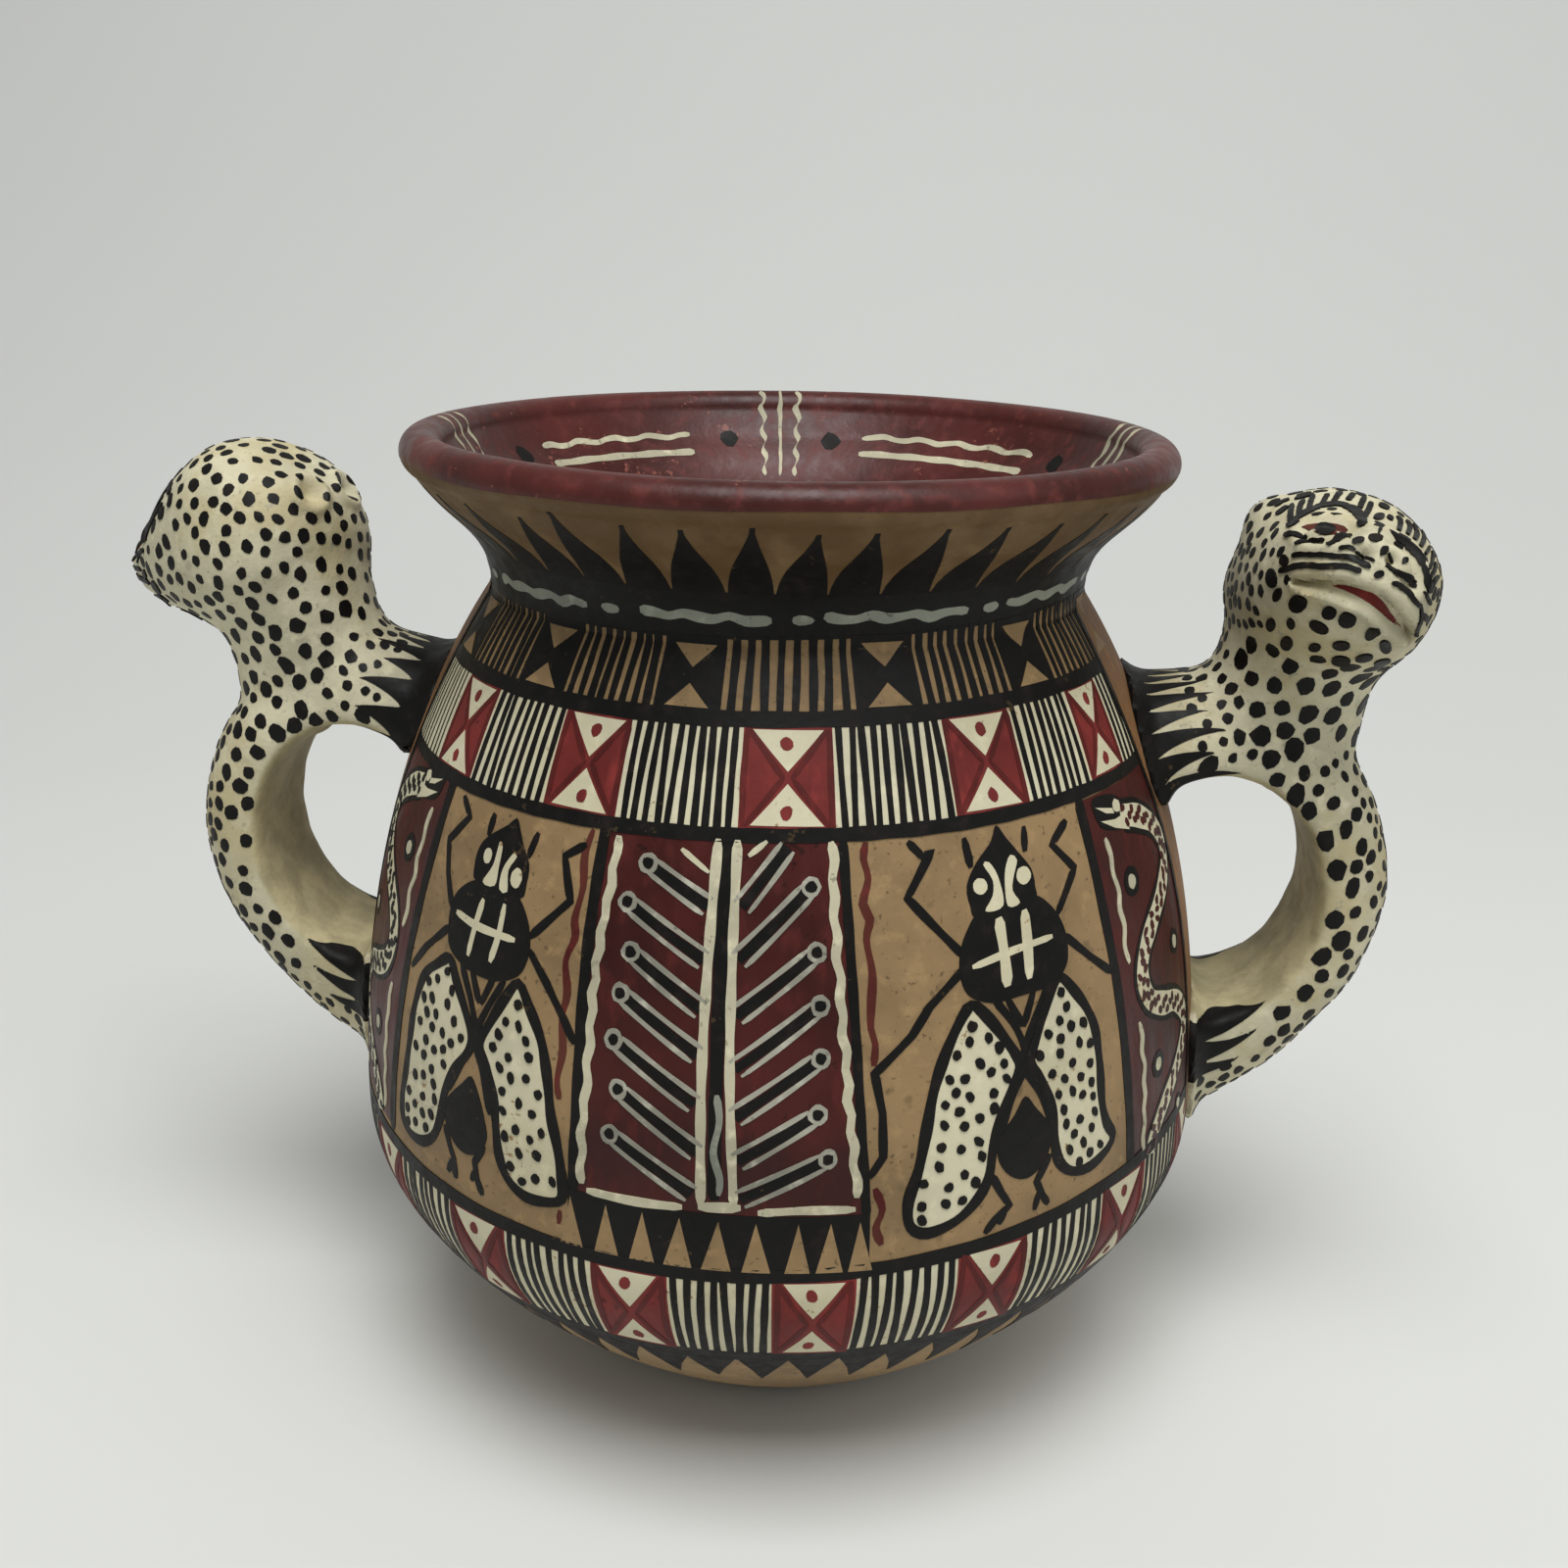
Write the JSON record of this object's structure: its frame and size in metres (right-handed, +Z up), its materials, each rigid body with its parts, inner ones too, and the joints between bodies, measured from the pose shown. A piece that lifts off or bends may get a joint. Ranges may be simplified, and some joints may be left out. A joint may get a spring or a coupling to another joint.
{
  "type": "pottery vase",
  "caption": "Round-bellied clay vase with a flared mouth, painted bands, and a loop handle on each side that rises into a spotted animal head.",
  "frame": {"origin": "middle of the flat foot, on the surface the vase stands on", "axes": "+X through the two handles, towards the head that looks forwards; +Z up along the axis of the body; the painted front faces -Y"},
  "size_m": [0.1956, 0.13, 0.1417],
  "materials": {
    "painted_clay": "fired clay with hand-painted earth colours, matt to satin"
  },
  "bodies": {
    "root": {"vase": "painted_clay"}
  },
  "joints": []
}
